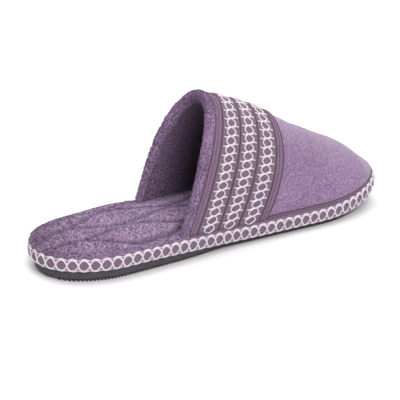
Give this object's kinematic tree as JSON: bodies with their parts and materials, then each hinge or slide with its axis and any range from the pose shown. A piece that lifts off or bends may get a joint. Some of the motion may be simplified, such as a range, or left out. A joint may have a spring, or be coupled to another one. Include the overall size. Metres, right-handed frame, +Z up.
{
  "type": "scuff slipper",
  "caption": "Left lilac terry scuff slipper with a woven braid edge, three instep ribbons, a padded footbed and a low wedge sole.",
  "frame": {"origin": "on the floor under the middle of the heel seat, 44 mm forward of the heel end", "axes": "+Z up, +X towards the toe along the shoe's length, +Y towards the outer side of the left foot"},
  "size_m": [0.266, 0.0816, 0.098],
  "materials": {
    "sole_foam": "matt dark grey foamed rubber with a ribbed lower edge",
    "terry": "lilac looped terry, quilted on the footbed",
    "velour": "lilac velour with a short soft nap",
    "tape": "dark mauve twill tape",
    "braid": "white and mauve woven braid"
  },
  "bodies": {
    "root": {"outsole": "sole_foam", "footbed": "terry", "edge_braid": "braid", "upper": "velour", "collar_cuff": "terry", "collar_tape": "tape", "instep_ribbon_1": "braid", "instep_ribbon_2": "braid", "instep_ribbon_3": "braid", "front_tape": "tape"}
  },
  "joints": []
}
